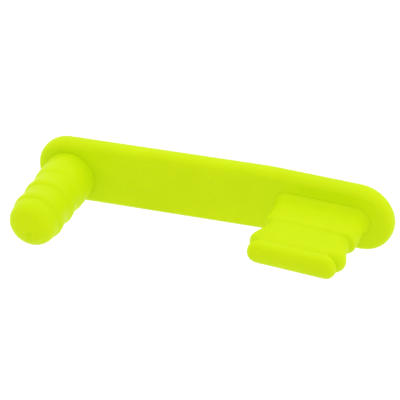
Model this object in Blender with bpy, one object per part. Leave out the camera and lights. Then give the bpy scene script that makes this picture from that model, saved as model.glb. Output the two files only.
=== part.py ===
"""Silicone dust plug for a phone: a thin strip with a round jack plug and a flat port plug.

Metres, +Z up. The strip lies on its flat outer face at z = 0, and both plugs stand up from it along +Z, the way
they go into the phone. X runs along the strip, the jack plug at -X. The object is one soft moulding. Each node is
one region of it that looks or works in its own way.
"""
import math

import bmesh
import bpy

MM = 0.001

# strip: a long bar with half-round ends and rounded edges
STRIP_LENGTH = 28.1 * MM
STRIP_WIDTH = 5.2 * MM
STRIP_THICKNESS = 1.35 * MM
STRIP_EDGE_R = 0.55 * MM
EDGE_STEPS = 5
END_STEPS = 28

# where the strip's regions part: the web between them is what bends
WEB_X0 = -8.50 * MM
WEB_X1 = 4.40 * MM
GAP = 0.3 * MM
REST_TILT = math.radians(5.0)

# low nibs on the web's inner face, in two rows
NIB_R = 0.23 * MM
NIB_RISE = 0.10 * MM
NIB_PITCH = 1.65 * MM
NIB_ROW_Y = (1.30 * MM, -0.42 * MM)
NIB_COUNT = 5
NIB_X0 = -6.65 * MM
NIB_SIDES = 16

# how a plug's foot spreads onto the strip, and how a rib swells: fullest towards its upper groove
FLARE_HEIGHT = 0.80 * MM
FLARE_POWER = 2.4
ROOT_RISE_HEIGHT = 1.80 * MM

# jack plug: turned about its own axis, which leans a little off square to the strip
JACK_X = -11.34 * MM
JACK_Y = -0.25 * MM
JACK_LEAN_X = 0.037
JACK_LEAN_Y = 0.071
JACK_CORE_R = 1.855 * MM
JACK_ROOT_RISE = 0.14 * MM
JACK_RIB_RISE = 0.145 * MM
JACK_RIB_SKEW = 2.7
JACK_FLARE = 0.04 * MM
JACK_ROOT_EASE = 0.60 * MM
JACK_ROOT_AT_FACE = 0.3
JACK_GROOVES_Z = (4.15 * MM, 5.98 * MM, 7.95 * MM)
JACK_SHOULDER = 0.30 * MM
JACK_TIP_Z = 9.62 * MM
JACK_DOME_POWER = 2.76
JACK_TAPER = 0.0147
JACK_SIDES = 48
NUB_R = 0.58 * MM
NUB_RISE = 0.10 * MM
NUB_BLEND_R = 1.35 * MM
NUB_SHIFT_X = 0.12 * MM
NUB_SHIFT_Y = -0.36 * MM
DIMPLE_R = 0.24 * MM
DIMPLE_DEPTH = 0.14 * MM

# port plug: a flat section with round narrow sides, leaning a little off square to the strip's end
PORT_X = 9.008 * MM
PORT_Y = 0.05 * MM
PORT_TILT = 0.0195
PORT_LEAN = 0.0332
PORT_LEAN_EASE = 1.5 * MM
PORT_HALF_W = 3.194 * MM
PORT_HALF_T = 0.83 * MM
PORT_CORNER_R = 0.80 * MM
PORT_ROOT_W = 0.32 * MM
PORT_ROOT_T = 0.11 * MM
PORT_RIB_W = 0.49 * MM
PORT_RIB_T = 0.085 * MM
PORT_RIB_SKEW = 2.5
PORT_FLARE = 0.22 * MM
PORT_ROOT_EASE = 0.32 * MM
PORT_ROOT_AT_FACE = 1.0
PORT_ROOT_SHIFT = 0.25 * MM
PORT_GROOVES_Z = (4.19 * MM, 6.60 * MM)
PORT_SHOULDER = 0.41 * MM
PORT_SHOULDER_W = 0.182 * MM
PORT_SHOULDER_T = 0.060 * MM
PORT_NOSE_Z = 7.60 * MM
PORT_NOSE_IN_W = 0.416 * MM
PORT_NOSE_IN_T = 0.78 * MM
PORT_CORNER_STEPS = 10


def clear_scene():
    for ob in list(bpy.data.objects):
        bpy.data.objects.remove(ob, do_unlink=True)


def silicone(name, color, roughness):
    mat = bpy.data.materials.new(name)
    mat.use_nodes = True
    bsdf = mat.node_tree.nodes["Principled BSDF"]
    bsdf.inputs["Base Color"].default_value = (*color, 1.0)
    bsdf.inputs["Roughness"].default_value = roughness
    return mat


def loft(name, rings, material):
    """A closed solid through rings of equal point count, capped at both ends."""
    bm = bmesh.new()
    loops = [[bm.verts.new(p) for p in ring] for ring in rings]
    count = len(loops[0])
    for lower, upper in zip(loops[:-1], loops[1:]):
        for i in range(count):
            j = (i + 1) % count
            bm.faces.new((lower[i], lower[j], upper[j], upper[i]))
    bm.faces.new(list(reversed(loops[0])))
    bm.faces.new(loops[-1])
    bmesh.ops.recalc_face_normals(bm, faces=bm.faces[:])
    mesh = bpy.data.meshes.new(name)
    bm.to_mesh(mesh)
    bm.free()
    ob = bpy.data.objects.new(name, mesh)
    bpy.context.scene.collection.objects.link(ob)
    ob.data.materials.append(material)
    return ob


def edge_levels():
    """(inset, z) pairs up the strip's rounded edge, from the outer face to the seating face."""
    low, high = [], []
    for k in range(EDGE_STEPS + 1):
        a = 0.5 * math.pi * k / EDGE_STEPS
        inset = STRIP_EDGE_R * (1.0 - math.sin(a))
        rise = STRIP_EDGE_R * (1.0 - math.cos(a))
        low.append((inset, rise))
        high.append((inset, STRIP_THICKNESS - rise))
    return low + high[::-1]


def end_outline(inset, cut_x, side):
    """The strip's end beyond cut_x as one closed outline. side is -1 for the -X end, +1 for the +X end."""
    r = 0.5 * STRIP_WIDTH - inset
    centre = 0.5 * (STRIP_LENGTH - STRIP_WIDTH)
    points = [(cut_x, -r)]
    for k in range(END_STEPS + 1):
        a = math.pi * k / END_STEPS
        points.append((side * (centre + r * math.sin(a)), -r * math.cos(a)))
    points.append((cut_x, r))
    return points


def strip_end(name, cut_x, side, material):
    rings = []
    for inset, z in edge_levels():
        rings.append([(x, y, z) for x, y in end_outline(inset, cut_x, side)])
    return loft(name, rings, material)


def strip_middle(name, x0, x1, material):
    rings = []
    for inset, z in edge_levels():
        r = 0.5 * STRIP_WIDTH - inset
        rings.append([(x0, -r, z), (x1, -r, z), (x1, r, z), (x0, r, z)])
    return loft(name, rings, material)


def nib_group():
    """All the nibs as one group of separate low domes, each with a short foot sunk in the web."""
    bm = bmesh.new()
    levels = ((1.0, -0.10 * MM), (1.0, 0.01 * MM), (0.82, 0.42 * NIB_RISE), (0.55, 0.80 * NIB_RISE), (0.25, NIB_RISE))
    for y in NIB_ROW_Y:
        for n in range(NIB_COUNT):
            cx = NIB_X0 + n * NIB_PITCH
            rings = []
            for share, rise in levels:
                ring = []
                for k in range(NIB_SIDES):
                    a = 2.0 * math.pi * k / NIB_SIDES
                    r = NIB_R * share
                    ring.append(bm.verts.new((cx + r * math.cos(a), y + r * math.sin(a), STRIP_THICKNESS + rise)))
                rings.append(ring)
            for lower, upper in zip(rings[:-1], rings[1:]):
                for i in range(NIB_SIDES):
                    j = (i + 1) % NIB_SIDES
                    bm.faces.new((lower[i], lower[j], upper[j], upper[i]))
            bm.faces.new(list(reversed(rings[0])))
            bm.faces.new(rings[-1])
    mesh = bpy.data.meshes.new("nib_group")
    bm.to_mesh(mesh)
    bm.free()
    ob = bpy.data.objects.new("nib_group", mesh)
    bpy.context.scene.collection.objects.link(ob)
    ob.hide_render = True
    ob.display_type = "WIRE"
    return ob


def ease(t):
    t = min(max(t, 0.0), 1.0)
    return t * t * (3.0 - 2.0 * t)


def foot(first_groove_z, root_ease, at_face, steps):
    """From the gap up to just under the first groove, as (flare share, root share, z) points."""
    base = STRIP_THICKNESS + GAP
    points = []
    for k in range(steps):
        z = base + (first_groove_z - base) * k / steps
        spread = max(1.0 - (z - base) / FLARE_HEIGHT, 0.0)
        near = min((first_groove_z - z) / root_ease, 1.0)
        full = at_face + (1.0 - at_face) * ease((z - STRIP_THICKNESS) / ROOT_RISE_HEIGHT)
        points.append((spread ** FLARE_POWER, full * near * (2.0 - near), z))
    return points


def rib(z0, z1, skew, steps):
    """One rib, as (share of its full rise, z) points after its lower groove."""
    points = []
    for k in range(1, steps + 1):
        t = k / steps
        s = t ** skew
        points.append((4.0 * s * (1.0 - s), z0 + (z1 - z0) * t))
    return points


def jack_profile():
    """(radius, z) points from the root to the tip."""
    g0 = JACK_GROOVES_Z[0]
    points = []
    for spread, root, z in foot(g0, JACK_ROOT_EASE, JACK_ROOT_AT_FACE, 16):
        points.append((JACK_CORE_R + spread * JACK_FLARE + root * JACK_ROOT_RISE, z))
    points.append((JACK_CORE_R, g0))
    for z0, z1 in zip(JACK_GROOVES_Z[:-1], JACK_GROOVES_Z[1:]):
        for share, z in rib(z0, z1, JACK_RIB_SKEW, 10):
            points.append((JACK_CORE_R + share * JACK_RIB_RISE, z))
    shoulder_z = JACK_GROOVES_Z[-1] + JACK_SHOULDER
    points.append((JACK_CORE_R, shoulder_z))
    height = JACK_TIP_Z - shoulder_z
    power = 2.0 / JACK_DOME_POWER
    stop = math.acos((NUB_R / JACK_CORE_R) ** (1.0 / power))
    for k in range(1, 11):
        a = stop * k / 10
        points.append((JACK_CORE_R * math.cos(a) ** power, shoulder_z + height * math.sin(a) ** power))
    nub_z = points[-1][1]
    points.append((0.93 * NUB_R, nub_z + 0.7 * NUB_RISE))
    points.append((0.72 * NUB_R, nub_z + NUB_RISE))
    points.append((DIMPLE_R + 0.05 * MM, nub_z + 0.95 * NUB_RISE))
    points.append((DIMPLE_R, nub_z + 0.6 * NUB_RISE))
    points.append((0.55 * DIMPLE_R, nub_z + NUB_RISE - DIMPLE_DEPTH))
    return [(r - JACK_TAPER * (z - g0), z) for r, z in points]


def jack_plug(name, material):
    rings = []
    for r, z in jack_profile():
        height = z - STRIP_THICKNESS
        share = ease((NUB_BLEND_R - r) / (NUB_BLEND_R - NUB_R))
        cx = JACK_X + JACK_LEAN_X * height + share * NUB_SHIFT_X
        cy = JACK_Y + JACK_LEAN_Y * height + share * NUB_SHIFT_Y
        ring = []
        for k in range(JACK_SIDES):
            a = 2.0 * math.pi * k / JACK_SIDES
            ring.append((cx + r * math.cos(a), cy + r * math.sin(a), z))
        rings.append(ring)
    return loft(name, rings, material)


def port_outline(grow_w, grow_t):
    """The flat plug's section, grown by grow_w at its narrow sides and grow_t on its broad faces."""
    a = PORT_HALF_W + grow_w
    b = PORT_HALF_T + grow_t
    r = min(PORT_CORNER_R + grow_t, 0.96 * b)
    points = []
    corners = ((1, 1), (-1, 1), (-1, -1), (1, -1))
    for n, (sx, sy) in enumerate(corners):
        for k in range(PORT_CORNER_STEPS + 1):
            t = 0.5 * math.pi * (n + k / PORT_CORNER_STEPS)
            points.append((sx * (a - r) + r * math.cos(t), sy * (b - r) + r * math.sin(t)))
    return points


def port_profile():
    """(growth at the narrow sides, growth on the broad faces, z) from the root to the nose."""
    g0, g1 = PORT_GROOVES_Z
    points = []
    for spread, root, z in foot(g0, PORT_ROOT_EASE, PORT_ROOT_AT_FACE, 20):
        points.append((spread * PORT_FLARE + root * PORT_ROOT_W, spread * PORT_FLARE + root * PORT_ROOT_T, z))
    points.append((0.0, 0.0, g0))
    for share, z in rib(g0, g1, PORT_RIB_SKEW, 12):
        points.append((share * PORT_RIB_W, share * PORT_RIB_T, z))
    for k in range(1, 4):
        swell = math.sin(0.5 * math.pi * k / 3)
        points.append((swell * PORT_SHOULDER_W, swell * PORT_SHOULDER_T, g1 + PORT_SHOULDER * k / 3))
    shoulder_z = g1 + PORT_SHOULDER
    for k in range(1, 9):
        a = 0.5 * math.pi * k / 8
        fall = 1.0 - math.cos(a)
        z = shoulder_z + (PORT_NOSE_Z - shoulder_z) * math.sin(a)
        points.append((PORT_SHOULDER_W - fall * PORT_NOSE_IN_W, PORT_SHOULDER_T - fall * PORT_NOSE_IN_T, z))
    return points


def port_lean(x, y, z):
    """A point of the flat plug, x and y from its middle, leaned off square more and more above its foot."""
    height = z - STRIP_THICKNESS
    share = ease(height / PORT_LEAN_EASE)
    a = share * PORT_TILT
    b = share * PORT_LEAN
    back = PORT_ROOT_SHIFT * (1.0 - ease(height / (PORT_GROOVES_Z[0] - STRIP_THICKNESS)))
    side = y * math.cos(b) - height * math.sin(b)
    up = y * math.sin(b) + height * math.cos(b)
    return (PORT_X - back + x * math.cos(a) - up * math.sin(a), PORT_Y + side,
            STRIP_THICKNESS + x * math.sin(a) + up * math.cos(a))


def port_plug(name, material):
    rings = []
    for grow_w, grow_t, z in port_profile():
        rings.append([port_lean(x, y, z) for x, y in port_outline(grow_w, grow_t)])
    return loft(name, rings, material)


def tilt_about_seam(ob):
    """The port end has taken a slight upward set: it turns about the web's end at the outer face."""
    c, s = math.cos(REST_TILT), math.sin(REST_TILT)
    for v in ob.data.vertices:
        dx = v.co.x - WEB_X1
        dz = v.co.z
        v.co.x = WEB_X1 + c * dx - s * dz
        v.co.z = s * dx + c * dz


def main():
    clear_scene()
    strip_mat = silicone("strip_silicone", (0.56, 0.76, 0.02), 0.42)
    web_mat = silicone("web_silicone", (0.54, 0.74, 0.02), 0.42)
    plug_mat = silicone("plug_silicone", (0.66, 0.90, 0.03), 0.38)
    strip_end("strip_jack_end", WEB_X0 - GAP, -1, strip_mat)
    web = strip_middle("strip_web", WEB_X0, WEB_X1, web_mat)
    mod = web.modifiers.new("nibs", "BOOLEAN")
    mod.operation = "UNION"
    mod.solver = "EXACT"
    mod.object = nib_group()
    port_end = strip_end("strip_port_end", WEB_X1 + GAP, 1, strip_mat)
    jack_plug("jack_plug", plug_mat)
    port = port_plug("port_plug", plug_mat)
    tilt_about_seam(port_end)
    tilt_about_seam(port)


main()
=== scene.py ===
"""Looks of a silicone dust plug for a phone: a thin strip with a round ribbed plug and a flat ribbed plug.

Metres, in the frame of the CAD part: the strip lies on its flat outer face at z = 0, X runs along it with the
round plug at -X, and both plugs stand up along +Z. The object is one moulding. It is drawn as three skins:
the strip, which lies between the two bodies, and the two plugs, which ride on one body each.
"""

import math

import bmesh
import bpy
from mathutils import Matrix, Vector


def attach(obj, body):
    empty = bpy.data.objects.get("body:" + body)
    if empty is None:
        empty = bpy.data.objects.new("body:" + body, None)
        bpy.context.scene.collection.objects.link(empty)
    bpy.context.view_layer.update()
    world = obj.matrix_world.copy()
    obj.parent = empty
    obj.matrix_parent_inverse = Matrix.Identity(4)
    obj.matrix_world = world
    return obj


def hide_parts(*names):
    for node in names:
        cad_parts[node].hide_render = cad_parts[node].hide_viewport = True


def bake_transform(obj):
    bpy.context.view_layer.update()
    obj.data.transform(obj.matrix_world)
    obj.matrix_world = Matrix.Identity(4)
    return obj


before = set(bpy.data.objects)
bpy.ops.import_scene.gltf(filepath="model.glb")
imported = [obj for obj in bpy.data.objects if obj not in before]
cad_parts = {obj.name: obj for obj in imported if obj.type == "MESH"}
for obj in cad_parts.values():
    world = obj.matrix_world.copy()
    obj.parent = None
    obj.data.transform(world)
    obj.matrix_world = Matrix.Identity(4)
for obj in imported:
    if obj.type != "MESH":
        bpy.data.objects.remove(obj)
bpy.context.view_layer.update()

MM = 0.001

# strip, as in the CAD part
LENGTH = 28.1 * MM
WIDTH = 5.2 * MM
THICKNESS = 1.35 * MM
EDGE_R = 0.55 * MM
END_X = 0.5 * (LENGTH - WIDTH)
WEB_END = 4.40 * MM
EDGE_STEPS = 9
END_RINGS = 7

# the strip's end under the flat plug is set a little towards +Z, eased in over a short stretch
TILT = math.radians(5.0)
TILT_EASE = 0.6 * MM
TILT_STEPS = 24

# low nibs on the inner face of the web, each in a square cell of the mesh
NIB_R = 0.23 * MM
NIB_RISE = 0.10 * MM
NIB_CELL = 0.42 * MM
NIB_STEPS = 6
NIB_LEVELS = 8
NIB_ROWS = (1.30 * MM, -0.42 * MM)
NIB_X = [(-6.65 + 1.65 * n) * MM for n in range(5)]

# how a plug's foot spreads onto the strip, and over what height its root grows to its full width
FLARE_HEIGHT = 0.80 * MM
FLARE_POWER = 2.4
ROOT_RISE_HEIGHT = 1.80 * MM

# round plug, whose axis leans a little off square to the strip
JACK_X = -11.34 * MM
JACK_Y = -0.25 * MM
JACK_LEAN_X = 0.037
JACK_LEAN_Y = 0.071
JACK_R = 1.855 * MM
JACK_ROOT = 0.14 * MM
JACK_RIB = 0.145 * MM
JACK_RIB_SKEW = 2.7
JACK_FLARE = 0.04 * MM
JACK_ROOT_EASE = 0.60 * MM
JACK_ROOT_AT_FACE = 0.3
JACK_GROOVES = (4.15 * MM, 5.98 * MM, 7.95 * MM)
JACK_SHOULDER = 0.30 * MM
JACK_TIP = 9.62 * MM
JACK_DOME_POWER = 2.76
JACK_TAPER = 0.0147
JACK_SIDES = 128
JACK_FOOT_STEPS = 48
JACK_RIB_STEPS = 26
JACK_SHOULDER_STEPS = 4
JACK_DOME_STEPS = 26
JACK_DOME_CROWDING = 1.3

# the small ring on the round plug's tip, which stands off the plug's axis, and the dimple in it
NUB_R = 0.58 * MM
NUB_RISE = 0.10 * MM
NUB_BLEND_R = 1.35 * MM
NUB_SHIFT_X = 0.12 * MM
NUB_SHIFT_Y = -0.36 * MM
DIMPLE_R = 0.24 * MM
DIMPLE_DEPTH = 0.11 * MM

# flat plug, leaning a little off square to the strip's end
PORT_X = 9.008 * MM
PORT_Y = 0.05 * MM
PORT_TILT = 0.0195
PORT_LEAN = 0.0332
PORT_LEAN_EASE = 1.5 * MM
PORT_W = 3.194 * MM
PORT_T = 0.83 * MM
PORT_CORNER = 0.80 * MM
PORT_ROOT_W = 0.32 * MM
PORT_ROOT_T = 0.11 * MM
PORT_RIB_W = 0.49 * MM
PORT_RIB_T = 0.085 * MM
PORT_RIB_SKEW = 2.5
PORT_FLARE = 0.22 * MM
PORT_ROOT_EASE = 0.32 * MM
PORT_ROOT_AT_FACE = 1.0
PORT_ROOT_SHIFT = 0.25 * MM
PORT_GROOVES = (4.19 * MM, 6.60 * MM)
PORT_SHOULDER = 0.41 * MM
PORT_SHOULDER_W = 0.182 * MM
PORT_SHOULDER_T = 0.060 * MM
PORT_NOSE_Z = 7.60 * MM
PORT_NOSE_IN_W = 0.416 * MM
PORT_NOSE_IN_T = 0.78 * MM
PORT_FOOT_STEPS = 56
PORT_RIB_STEPS = 30
PORT_SHOULDER_STEPS = 6
PORT_NOSE_STEPS = 18
PORT_CORNER_STEPS = 14
PORT_FLAT_STEPS = 24

# steps of the strip's mesh, from its -X end to its +X end, and across from -Y to +Y
STEPS_TO_NIBS = 11
STEPS_BETWEEN_NIBS = 4
STEPS_TO_SET = 10
STEPS_THROUGH_SET = 8
STEPS_TO_END = 18
STEPS_BELOW_ROWS = (6, 5)
STEPS_ABOVE_ROWS = 3

# a plug's foot is sunk a hair into the strip, kept inside its outline, and closed by a skirt underneath
SINK = 0.004 * MM
FOOT_MARGIN = 0.10 * MM
SKIRT = 0.16 * MM
SKIRT_BOTTOM = 0.10 * MM
JACK_SKIRT_SHRINK = (0.95, 0.95)
PORT_SKIRT_SHRINK = (0.97, 0.95)

# edges turned by more than this stay sharp, on the strip and on everything else
STRIP_SHARP_DEG = 50
SHARP_DEG = 60

# silicone: two close tones of one yellow-green
SILICONE_LIGHT = (0.65, 0.84, 0.003)
SILICONE_DEEP = (0.62, 0.805, 0.002)
STRIP_ROUGHNESS = 0.52
PLUG_ROUGHNESS = 0.50
ROUGHNESS_SPREAD = 0.05

# studio: the floor lies well below the object, clear of the strip when it bends down past its outer face
FLOOR_Z = -14.5 * MM
FLOOR_REACH = 3.0
FLOOR_CELLS = 12
FLOOR_TONES = (0.93, 0.95)
SKY_HORIZON = 1.0
SKY_TOP = 0.81
SKY_EASE = (0.15, 0.85)
SKY_STRENGTH = 1.07
KEY_PLACE = (-0.05, 0.42, 0.16)
KEY_TARGET = (0.0, 0.0, 0.003)
KEY_SIZE = 0.12
KEY_WATTS = 0.06
CAMERA_LENS = 196.4
CAMERA_PLACE = (0.053223, 0.088668, 0.122779)
CAMERA_RIGHT = (0.92981, -0.07385, -0.36056)
CAMERA_UP = (-0.14514, 0.82669, -0.54361)
CAMERA_BACK = (0.33822, 0.55779, 0.75795)


class Skin:
    """A mesh under construction whose points are welded where they coincide."""

    def __init__(self):
        self.bm = bmesh.new()
        self.seen = {}

    def point(self, x, y, z):
        key = (round(x * 1e8), round(y * 1e8), round(z * 1e8))
        if key not in self.seen:
            self.seen[key] = self.bm.verts.new((x, y, z))
        return self.seen[key]

    def face(self, points):
        corners = []
        for p in points:
            v = self.point(*p)
            if v not in corners:
                corners.append(v)
        if len(corners) > 2 and self.bm.faces.get(corners) is None:
            self.bm.faces.new(corners)

    def band(self, ring_a, ring_b):
        """Quads between two closed rings of equal count."""
        count = len(ring_a)
        for i in range(count):
            j = (i + 1) % count
            self.face((ring_a[i], ring_a[j], ring_b[j], ring_b[i]))

    def fan(self, ring, centre):
        for i in range(len(ring)):
            self.face((ring[i], ring[(i + 1) % len(ring)], centre))

    def finish(self, name, sharp_deg):
        """Turns the faces outwards and puts the mesh in the scene, smooth but for edges over sharp_deg."""
        bmesh.ops.recalc_face_normals(self.bm, faces=self.bm.faces[:])
        mesh = bpy.data.meshes.new(name)
        self.bm.to_mesh(mesh)
        self.bm.free()
        for poly in mesh.polygons:
            poly.use_smooth = True
        mesh.set_sharp_from_angle(angle=math.radians(sharp_deg))
        ob = bpy.data.objects.new(name, mesh)
        bpy.context.scene.collection.objects.link(ob)
        return ob


def spaced(a, b, steps):
    """Even steps from a to b, without b itself."""
    return [a + (b - a) * k / steps for k in range(steps)]


def ease(t):
    """0 below 0, 1 above 1, and a smooth rise between."""
    t = min(max(t, 0.0), 1.0)
    return t * t * (3.0 - 2.0 * t)


def edge_drop(inset):
    """How far the strip's rounded edge lies below its flat face, at a distance in from the outline."""
    if inset >= EDGE_R:
        return 0.0
    gap = EDGE_R - max(inset, 0.0)
    return EDGE_R - math.sqrt(max(EDGE_R ** 2 - gap ** 2, 0.0))


def strip_inset(x, y):
    """Distance in from the strip's outline."""
    over = max(abs(x) - END_X, 0.0)
    return 0.5 * WIDTH - math.hypot(over, y)


def set_curve(x, z):
    """The strip's slight set: beyond the web it leans up towards +Z. Takes and gives (x, z)."""
    lead = x - (WEB_END - TILT_EASE)
    if lead <= 0.0:
        return x, z
    run = min(lead, 2.0 * TILT_EASE)
    step = run / TILT_STEPS
    px, pz = WEB_END - TILT_EASE, 0.0
    for k in range(TILT_STEPS):
        angle = TILT * ease((k + 0.5) * step / (2.0 * TILT_EASE))
        px += math.cos(angle) * step
        pz += math.sin(angle) * step
    angle = TILT * ease(run / (2.0 * TILT_EASE))
    rest = lead - run
    px += math.cos(angle) * rest
    pz += math.sin(angle) * rest
    return px - math.sin(angle) * z, pz + math.cos(angle) * z


def tilt(x, z):
    """The flat plug leans with the strip's end. Takes and gives (x, z)."""
    dx = x - WEB_END
    return (WEB_END + math.cos(TILT) * dx - math.sin(TILT) * z,
            math.sin(TILT) * dx + math.cos(TILT) * z)


# ---------------------------------------------------------------- strip

def strip_columns():
    """Where the strip's mesh is cut across, closer at the nibs and where its end turns up."""
    xs = spaced(-END_X, NIB_X[0] - NIB_CELL, STEPS_TO_NIBS)
    for n, x in enumerate(NIB_X):
        xs += spaced(x - NIB_CELL, x + NIB_CELL, NIB_STEPS)
        if n + 1 < len(NIB_X):
            xs += spaced(x + NIB_CELL, NIB_X[n + 1] - NIB_CELL, STEPS_BETWEEN_NIBS)
    last = NIB_X[-1] + NIB_CELL
    xs += spaced(last, WEB_END - TILT_EASE, STEPS_TO_SET)
    xs += spaced(WEB_END - TILT_EASE, WEB_END + TILT_EASE, STEPS_THROUGH_SET)
    xs += spaced(WEB_END + TILT_EASE, END_X, STEPS_TO_END)
    return xs + [END_X]


def strip_rows():
    """Where the strip's flat faces are cut along, closer at the nibs."""
    h = 0.5 * WIDTH - EDGE_R
    ys, y = [], -h
    for row, steps in zip(sorted(NIB_ROWS), STEPS_BELOW_ROWS):
        ys += spaced(y, row - NIB_CELL, steps)
        ys += spaced(row - NIB_CELL, row + NIB_CELL, NIB_STEPS)
        y = row + NIB_CELL
    return ys + spaced(y, h, STEPS_ABOVE_ROWS) + [h]


def outline(inset, z, xs, ys):
    """The strip's outline at an inset, as a ring that starts at its +Y side."""
    r = 0.5 * WIDTH - inset
    count = len(ys) - 1
    ring = [(x, r, z) for x in xs]
    for side in (1, -1):
        start = 0.5 * math.pi * side
        for k in range(1, count):
            a = start - math.pi * k / count
            ring.append((side * END_X + r * math.cos(a), r * math.sin(a), z))
        if side == 1:
            ring += [(x, -r, z) for x in reversed(xs)]
    return ring


def in_nib_cell(x, y):
    in_column = any(abs(x - nib_x) < NIB_CELL for nib_x in NIB_X)
    in_row = any(abs(y - nib_y) < NIB_CELL for nib_y in NIB_ROWS)
    return in_column and in_row


def flat_side(skin, z, xs, ys):
    """The strip's flat face at height z. The inner face is left open where the nibs stand."""
    for x0, x1 in zip(xs[:-1], xs[1:]):
        for y0, y1 in zip(ys[:-1], ys[1:]):
            if z == 0.0 or not in_nib_cell(0.5 * (x0 + x1), 0.5 * (y0 + y1)):
                skin.face(((x0, y0, z), (x1, y0, z), (x1, y1, z), (x0, y1, z)))
    r = 0.5 * WIDTH - EDGE_R
    count = len(ys) - 1
    for side in (1, -1):
        grid = []
        for level in range(END_RINGS + 1):
            share = level / END_RINGS
            line = []
            for k, y in enumerate(ys):
                a = -0.5 * math.pi + math.pi * k / count
                ax, ay = side * (END_X + r * math.cos(a)), r * math.sin(a)
                if k in (0, count):
                    ax, ay = side * END_X, y
                mx = side * END_X * (1.0 - share) + ax * share
                my = y * (1.0 - share) + ay * share
                line.append((mx, my, z))
            grid.append(line)
        for a, b in zip(grid[:-1], grid[1:]):
            for k in range(count):
                skin.face((a[k], b[k], b[k + 1], a[k + 1]))


def cell_border(cx, cy, z):
    """The square round a nib, as a ring of points, anticlockwise from its +X -Y corner."""
    ring = []
    corners = ((1, -1), (1, 1), (-1, 1), (-1, -1))
    for n, (sx, sy) in enumerate(corners):
        ex, ey = corners[(n + 1) % 4]
        for k in range(NIB_STEPS):
            t = k / NIB_STEPS
            ring.append((cx + NIB_CELL * (sx + (ex - sx) * t), cy + NIB_CELL * (sy + (ey - sy) * t), z))
    return ring


def nib(skin, cx, cy):
    """A low round swelling that rises smoothly out of the inner face."""
    count = 4 * NIB_STEPS
    rings = [cell_border(cx, cy, THICKNESS)]
    for level in range(NIB_LEVELS):
        share = 1.0 - level / NIB_LEVELS
        r = NIB_R * share
        z = THICKNESS + NIB_RISE * 0.5 * (1.0 + math.cos(math.pi * share))
        ring = []
        for k in range(count):
            a = -0.25 * math.pi + 2.0 * math.pi * k / count
            ring.append((cx + r * math.cos(a), cy + r * math.sin(a), z))
        rings.append(ring)
    for a, b in zip(rings[:-1], rings[1:]):
        skin.band(a, b)
    skin.fan(rings[-1], (cx, cy, THICKNESS + NIB_RISE))


def strip_skin():
    """The whole strip, closed: rounded edge, both flat faces, nibs, and the slight set of its end."""
    skin = Skin()
    xs, ys = strip_columns(), strip_rows()
    levels = []
    for k in range(EDGE_STEPS + 1):
        a = 0.5 * math.pi * k / EDGE_STEPS
        levels.append((EDGE_R * (1.0 - math.sin(a)), EDGE_R * (1.0 - math.cos(a))))
    rings = [outline(i, THICKNESS - d, xs, ys) for i, d in levels]
    rings.append(outline(0.0, 0.5 * THICKNESS, xs, ys))
    rings += [outline(i, d, xs, ys) for i, d in reversed(levels)]
    for a, b in zip(rings[:-1], rings[1:]):
        skin.band(a, b)
    flat_side(skin, THICKNESS, xs, ys)
    flat_side(skin, 0.0, xs, ys)
    for x in NIB_X:
        for y in NIB_ROWS:
            nib(skin, x, y)
    for v in skin.bm.verts:
        v.co.x, v.co.z = set_curve(v.co.x, v.co.z)
    return skin.finish("strip_skin", STRIP_SHARP_DEG)


# ---------------------------------------------------------------- plugs

def foot(first_groove, root_ease, at_face, steps):
    """From the face up to just under the first groove, as (flare share, root share, z) points."""
    points = []
    for k in range(steps):
        z = THICKNESS + (first_groove - THICKNESS) * k / steps
        spread = max(1.0 - (z - THICKNESS) / FLARE_HEIGHT, 0.0)
        near = min((first_groove - z) / root_ease, 1.0)
        full = at_face + (1.0 - at_face) * ease((z - THICKNESS) / ROOT_RISE_HEIGHT)
        points.append((spread ** FLARE_POWER, full * near * (2.0 - near), z))
    return points


def rib(z0, z1, skew, steps):
    """One rib, fullest towards its upper groove.

    As (share of its full rise, z) points after its lower groove.
    """
    points = []
    for k in range(1, steps + 1):
        t = k / steps
        s = t ** skew
        points.append((4.0 * s * (1.0 - s), z0 + (z1 - z0) * t))
    return points


def settle(x, y, z):
    """Lets the foot of a plug follow the strip's rounded edge, and sinks it a hair into the face."""
    share = min(max((z - THICKNESS) / FLARE_HEIGHT, 0.0), 1.0)
    keep = (1.0 - share) ** 2
    limit = 0.5 * WIDTH - FOOT_MARGIN
    y = y + (min(max(y, -limit), limit) - y) * keep
    return x, y, z - (edge_drop(strip_inset(x, y)) + SINK) * keep


def nub_profile(z):
    """(radius, z) points over the tip's small ring and down into its dimple, from height z."""
    ring = ((0.97, 0.35), (0.90, 0.75), (0.78, 0.96), (0.66, 1.0), (0.54, 0.92))
    points = [(r * NUB_R, z + rise * NUB_RISE) for r, rise in ring]
    points.append((DIMPLE_R, z + 0.6 * NUB_RISE))
    points.append((0.8 * DIMPLE_R, z + 0.25 * NUB_RISE))
    points.append((0.5 * DIMPLE_R, z + NUB_RISE - 0.9 * DIMPLE_DEPTH))
    points.append((0.25 * DIMPLE_R, z + NUB_RISE - DIMPLE_DEPTH))
    return points


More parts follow.
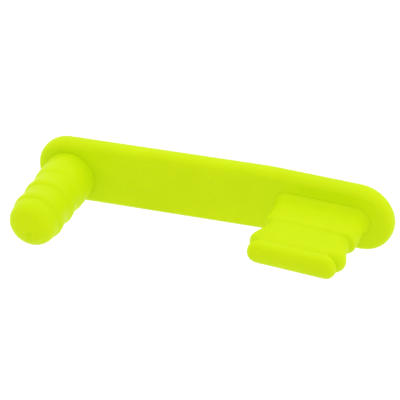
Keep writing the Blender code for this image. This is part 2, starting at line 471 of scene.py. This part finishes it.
def jack_profile():
    """(radius, z) points from the face of the strip to the middle of the tip's dimple."""
    g0 = JACK_GROOVES[0]
    points = []
    for spread, root, z in foot(g0, JACK_ROOT_EASE, JACK_ROOT_AT_FACE, JACK_FOOT_STEPS):
        points.append((JACK_R + spread * JACK_FLARE + root * JACK_ROOT, z))
    points.append((JACK_R, g0))
    for z0, z1 in zip(JACK_GROOVES[:-1], JACK_GROOVES[1:]):
        for share, z in rib(z0, z1, JACK_RIB_SKEW, JACK_RIB_STEPS):
            points.append((JACK_R + share * JACK_RIB, z))
    last = JACK_GROOVES[-1]
    for k in range(1, JACK_SHOULDER_STEPS + 1):
        points.append((JACK_R, last + JACK_SHOULDER * k / JACK_SHOULDER_STEPS))
    shoulder_z = last + JACK_SHOULDER
    height = JACK_TIP - shoulder_z
    power = 2.0 / JACK_DOME_POWER
    stop = math.acos((NUB_R / JACK_R) ** (1.0 / power))
    for k in range(1, JACK_DOME_STEPS + 1):
        a = stop * (k / JACK_DOME_STEPS) ** JACK_DOME_CROWDING
        points.append((JACK_R * math.cos(a) ** power, shoulder_z + height * math.sin(a) ** power))
    points += nub_profile(points[-1][1])
    return [(r - JACK_TAPER * (z - g0), z) for r, z in points]


def plug_body(rings, x, y, shrink):
    """A plug through its rings from foot to tip, with a skirt under its foot, closed at both ends."""
    skin = Skin()
    skirt = []
    for px, py, pz in rings[0]:
        skirt.append((x + shrink[0] * (px - x), y + shrink[1] * (py - y), pz - SKIRT))
    rings = [skirt] + rings
    for a, b in zip(rings[:-1], rings[1:]):
        skin.band(a, b)
    skin.fan(skirt, (x, y, THICKNESS - SKIRT - SKIRT_BOTTOM))
    top = rings[-1]
    middle = [sum(p[i] for p in top) / len(top) for i in range(3)]
    skin.fan(top, middle)
    return skin


def jack_skin():
    rings = []
    for r, z in jack_profile():
        height = z - THICKNESS
        share = ease((NUB_BLEND_R - r) / (NUB_BLEND_R - NUB_R))
        cx = JACK_X + JACK_LEAN_X * height + share * NUB_SHIFT_X
        cy = JACK_Y + JACK_LEAN_Y * height + share * NUB_SHIFT_Y
        ring = []
        for k in range(JACK_SIDES):
            a = 2.0 * math.pi * k / JACK_SIDES
            ring.append(settle(cx + r * math.cos(a), cy + r * math.sin(a), z))
        rings.append(ring)
    return plug_body(rings, JACK_X, JACK_Y, JACK_SKIRT_SHRINK).finish("jack_plug_skin", SHARP_DEG)


def port_outline(grow_w, grow_t):
    """The flat plug's section, anticlockwise, grown at its narrow sides and on its broad faces."""
    a = PORT_W + grow_w
    b = PORT_T + grow_t
    r = min(PORT_CORNER + grow_t, 0.96 * b)
    points = []
    for n, (sx, sy) in enumerate(((1, 1), (-1, 1), (-1, -1), (1, -1))):
        for k in range(PORT_CORNER_STEPS + 1):
            t = 0.5 * math.pi * (n + k / PORT_CORNER_STEPS)
            points.append((sx * (a - r) + r * math.cos(t), sy * (b - r) + r * math.sin(t)))
        if n in (0, 2):
            for k in range(1, PORT_FLAT_STEPS):
                points.append((sx * (a - r) * (1.0 - 2.0 * k / PORT_FLAT_STEPS), sy * b))
    return points


def port_profile():
    """(growth at the narrow sides, growth on the broad faces, z) from the face of the strip to the nose."""
    g0, g1 = PORT_GROOVES
    points = []
    for spread, root, z in foot(g0, PORT_ROOT_EASE, PORT_ROOT_AT_FACE, PORT_FOOT_STEPS):
        flare = spread * PORT_FLARE
        points.append((flare + root * PORT_ROOT_W, flare + root * PORT_ROOT_T, z))
    points.append((0.0, 0.0, g0))
    for share, z in rib(g0, g1, PORT_RIB_SKEW, PORT_RIB_STEPS):
        points.append((share * PORT_RIB_W, share * PORT_RIB_T, z))
    for k in range(1, PORT_SHOULDER_STEPS + 1):
        swell = math.sin(0.5 * math.pi * k / PORT_SHOULDER_STEPS)
        z = g1 + PORT_SHOULDER * k / PORT_SHOULDER_STEPS
        points.append((swell * PORT_SHOULDER_W, swell * PORT_SHOULDER_T, z))
    shoulder_z = g1 + PORT_SHOULDER
    for k in range(1, PORT_NOSE_STEPS + 1):
        a = 0.5 * math.pi * k / PORT_NOSE_STEPS
        fall = 1.0 - math.cos(a)
        z = shoulder_z + (PORT_NOSE_Z - shoulder_z) * math.sin(a)
        points.append((PORT_SHOULDER_W - fall * PORT_NOSE_IN_W, PORT_SHOULDER_T - fall * PORT_NOSE_IN_T, z))
    return points


def port_lean(x, y, z):
    """A point of the flat plug, x and y from its middle, leaned off square more and more above its foot."""
    height = z - THICKNESS
    share = ease(height / PORT_LEAN_EASE)
    a = share * PORT_TILT
    b = share * PORT_LEAN
    back = PORT_ROOT_SHIFT * (1.0 - ease(height / (PORT_GROOVES[0] - THICKNESS)))
    side = y * math.cos(b) - height * math.sin(b)
    up = y * math.sin(b) + height * math.cos(b)
    return (PORT_X - back + x * math.cos(a) - up * math.sin(a), PORT_Y + side,
            THICKNESS + x * math.sin(a) + up * math.cos(a))


def port_skin():
    rings = []
    for grow_w, grow_t, z in port_profile():
        rings.append([settle(*port_lean(x, y, z)) for x, y in port_outline(grow_w, grow_t)])
    skin = plug_body(rings, PORT_X, PORT_Y, PORT_SKIRT_SHRINK)
    for v in skin.bm.verts:
        v.co.x, v.co.z = tilt(v.co.x, v.co.z)
    return skin.finish("port_plug_skin", SHARP_DEG)


# ---------------------------------------------------------------- materials

def link(tree, a, out, b, into):
    """Joins output out of node a to input into of node b."""
    tree.links.new(a.outputs[out], b.inputs[into])


def noise(tree, coords, scale, detail):
    node = tree.nodes.new("ShaderNodeTexNoise")
    node.inputs["Scale"].default_value = scale
    node.inputs["Detail"].default_value = detail
    link(tree, coords, "Object", node, "Vector")
    return node


def two_tones(tree, factor, low, high, place_low, place_high):
    """A ramp from colour low to colour high along a noise's value."""
    ramp = tree.nodes.new("ShaderNodeValToRGB")
    start, end = ramp.color_ramp.elements
    start.position, end.position = place_low, place_high
    start.color = (*low, 1.0)
    end.color = (*high, 1.0)
    link(tree, factor, "Fac", ramp, "Fac")
    return ramp


def silicone(name, roughness):
    """Soft moulded silicone: a satin skin, faint clouding in the colour, and a fine moulded grain."""
    mat = bpy.data.materials.new(name)
    mat.use_nodes = True
    tree = mat.node_tree
    bsdf = tree.nodes["Principled BSDF"]
    coords = tree.nodes.new("ShaderNodeTexCoord")

    cloud = noise(tree, coords, 260.0, 3.0)
    cloud.inputs["Roughness"].default_value = 0.55
    tint = two_tones(tree, cloud, SILICONE_DEEP, SILICONE_LIGHT, 0.35, 0.65)
    link(tree, tint, "Color", bsdf, "Base Color")

    smear = noise(tree, coords, 900.0, 4.0)
    rough = tree.nodes.new("ShaderNodeMapRange")
    rough.inputs["To Min"].default_value = roughness - ROUGHNESS_SPREAD
    rough.inputs["To Max"].default_value = roughness + ROUGHNESS_SPREAD
    link(tree, smear, "Fac", rough, "Value")
    link(tree, rough, "Result", bsdf, "Roughness")

    grain = noise(tree, coords, 9000.0, 2.0)
    bump = tree.nodes.new("ShaderNodeBump")
    bump.inputs["Strength"].default_value = 0.12
    bump.inputs["Distance"].default_value = 0.02 * MM
    link(tree, grain, "Fac", bump, "Height")
    link(tree, bump, "Normal", bsdf, "Normal")

    bsdf.inputs["Subsurface Weight"].default_value = 0.12
    bsdf.inputs["Subsurface Radius"].default_value = (1.0, 1.0, 0.35)
    bsdf.inputs["Subsurface Scale"].default_value = 0.4 * MM
    bsdf.inputs["IOR"].default_value = 1.41
    bsdf.inputs["Specular IOR Level"].default_value = 0.09
    return mat


def floor_material():
    """A plain matt white sheet that shines a little by itself, so that it stays white all over."""
    mat = bpy.data.materials.new("studio_floor")
    mat.use_nodes = True
    tree = mat.node_tree
    bsdf = tree.nodes["Principled BSDF"]
    coords = tree.nodes.new("ShaderNodeTexCoord")
    mottle = noise(tree, coords, 40.0, 2.0)
    low, high = FLOOR_TONES
    tint = two_tones(tree, mottle, (low, low, low), (high, high, high), 0.0, 1.0)
    link(tree, tint, "Color", bsdf, "Base Color")
    bsdf.inputs["Roughness"].default_value = 0.9
    bsdf.inputs["Specular IOR Level"].default_value = 0.1
    bsdf.inputs["Emission Color"].default_value = (1.0, 1.0, 1.0, 1.0)
    bsdf.inputs["Emission Strength"].default_value = 0.25
    return mat


# ---------------------------------------------------------------- studio

def studio_floor():
    skin = Skin()
    marks = [FLOOR_REACH * (2.0 * k / FLOOR_CELLS - 1.0) for k in range(FLOOR_CELLS + 1)]
    for x0, x1 in zip(marks[:-1], marks[1:]):
        for y0, y1 in zip(marks[:-1], marks[1:]):
            skin.face(((x0, y0, FLOOR_Z), (x1, y0, FLOOR_Z), (x1, y1, FLOOR_Z), (x0, y1, FLOOR_Z)))
    ob = skin.finish("studio_floor", SHARP_DEG)
    if ob.data.polygons[0].normal.z < 0.0:
        ob.data.flip_normals()
    ob.data.materials.append(floor_material())
    return ob


def softbox(name, location, target, size, watts):
    light = bpy.data.lights.new(name, "AREA")
    light.shape = "DISK"
    light.size = size
    light.energy = watts
    ob = bpy.data.objects.new(name, light)
    bpy.context.scene.collection.objects.link(ob)
    ob.location = location
    ob.rotation_mode = "QUATERNION"
    ob.rotation_quaternion = (Vector(target) - Vector(location)).to_track_quat("-Z", "Y")
    return ob


def studio_world():
    """Soft white light from all round, a little dimmer towards the zenith."""
    world = bpy.data.worlds.new("studio")
    world.use_nodes = True
    tree = world.node_tree
    back = tree.nodes["Background"]
    coords = tree.nodes.new("ShaderNodeTexCoord")
    parts = tree.nodes.new("ShaderNodeSeparateXYZ")
    link(tree, coords, "Generated", parts, "Vector")
    ramp = tree.nodes.new("ShaderNodeValToRGB")
    ramp.color_ramp.interpolation = "EASE"
    horizon, zenith = ramp.color_ramp.elements
    horizon.position, zenith.position = SKY_EASE
    horizon.color = (SKY_HORIZON, SKY_HORIZON, SKY_HORIZON, 1.0)
    zenith.color = (SKY_TOP, SKY_TOP, SKY_TOP, 1.0)
    link(tree, parts, "Z", ramp, "Fac")
    link(tree, ramp, "Color", back, "Color")
    back.inputs["Strength"].default_value = SKY_STRENGTH
    bpy.context.scene.world = world


def photo_camera():
    data = bpy.data.cameras.new("camera")
    data.sensor_width = 36.0
    data.lens = CAMERA_LENS
    data.clip_start = 0.01
    data.clip_end = 20.0
    ob = bpy.data.objects.new("camera", data)
    bpy.context.scene.collection.objects.link(ob)
    turn = Matrix((CAMERA_RIGHT, CAMERA_UP, CAMERA_BACK)).transposed().to_4x4()
    ob.matrix_world = Matrix.Translation(CAMERA_PLACE) @ turn
    bpy.context.scene.camera = ob


# ---------------------------------------------------------------- the object and its studio

strip = strip_skin()
jack = jack_skin()
port = port_skin()

strip.data.materials.append(silicone("silicone_strip", STRIP_ROUGHNESS))
jack.data.materials.append(silicone("silicone_round_plug", PLUG_ROUGHNESS))
port.data.materials.append(silicone("silicone_flat_plug", PLUG_ROUGHNESS))

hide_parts("strip_jack_end", "strip_web", "strip_port_end")
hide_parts("jack_plug")
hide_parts("port_plug")
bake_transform(strip)
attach(jack, "jack_side")
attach(port, "port_side")

floor = studio_floor()
studio_world()
softbox("key", KEY_PLACE, KEY_TARGET, KEY_SIZE, KEY_WATTS)
photo_camera()
bpy.context.scene.view_settings.view_transform = "Standard"
